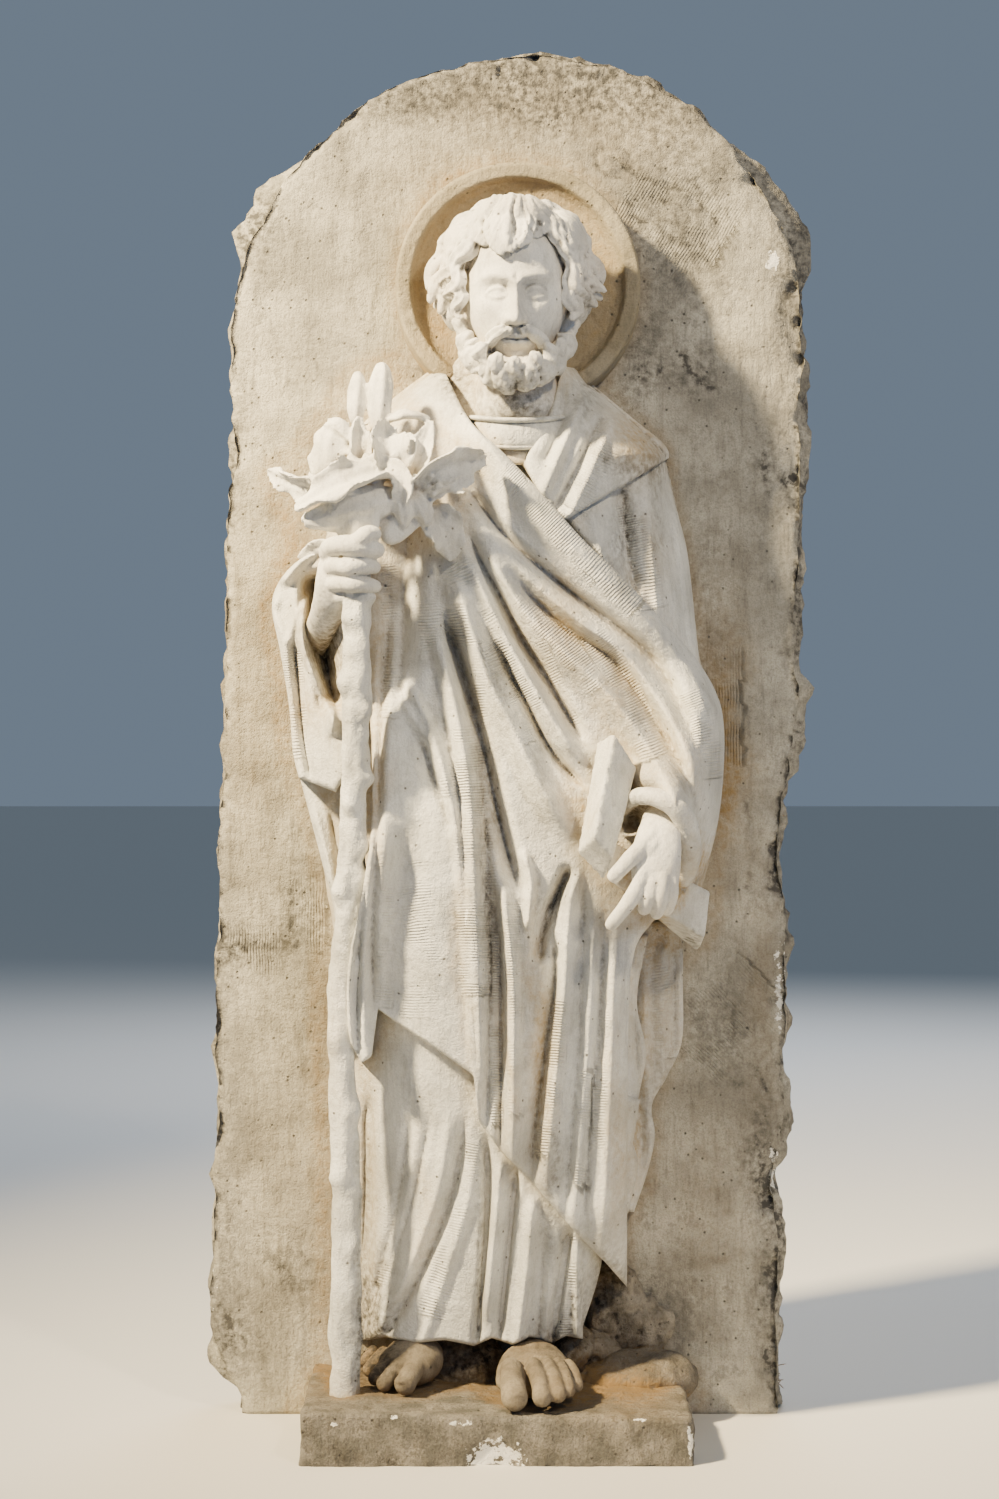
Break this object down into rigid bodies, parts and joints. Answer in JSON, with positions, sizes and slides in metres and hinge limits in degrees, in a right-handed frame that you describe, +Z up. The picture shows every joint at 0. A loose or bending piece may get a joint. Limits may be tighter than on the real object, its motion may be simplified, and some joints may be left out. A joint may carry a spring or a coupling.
{
  "type": "plaster relief panel",
  "caption": "Round-topped plaster slab on a foot ledge with a bearded, haloed figure in high relief that holds a lily staff and a carpenter's square.",
  "frame": {"origin": "on the flat underside, on the middle line of the foot ledge, in the plane of the slab's front face", "axes": "+Z up, +X to the viewer's right, -Y towards the viewer, so +Y is the slab's flat back"},
  "size_m": [0.601, 0.319, 1.3629],
  "materials": {
    "cast_plaster": "dull off-white cast plaster with ochre stains, grey grime in the hollows and fine dark pits"
  },
  "bodies": {
    "root": {"relief_panel": "cast_plaster"}
  },
  "joints": []
}
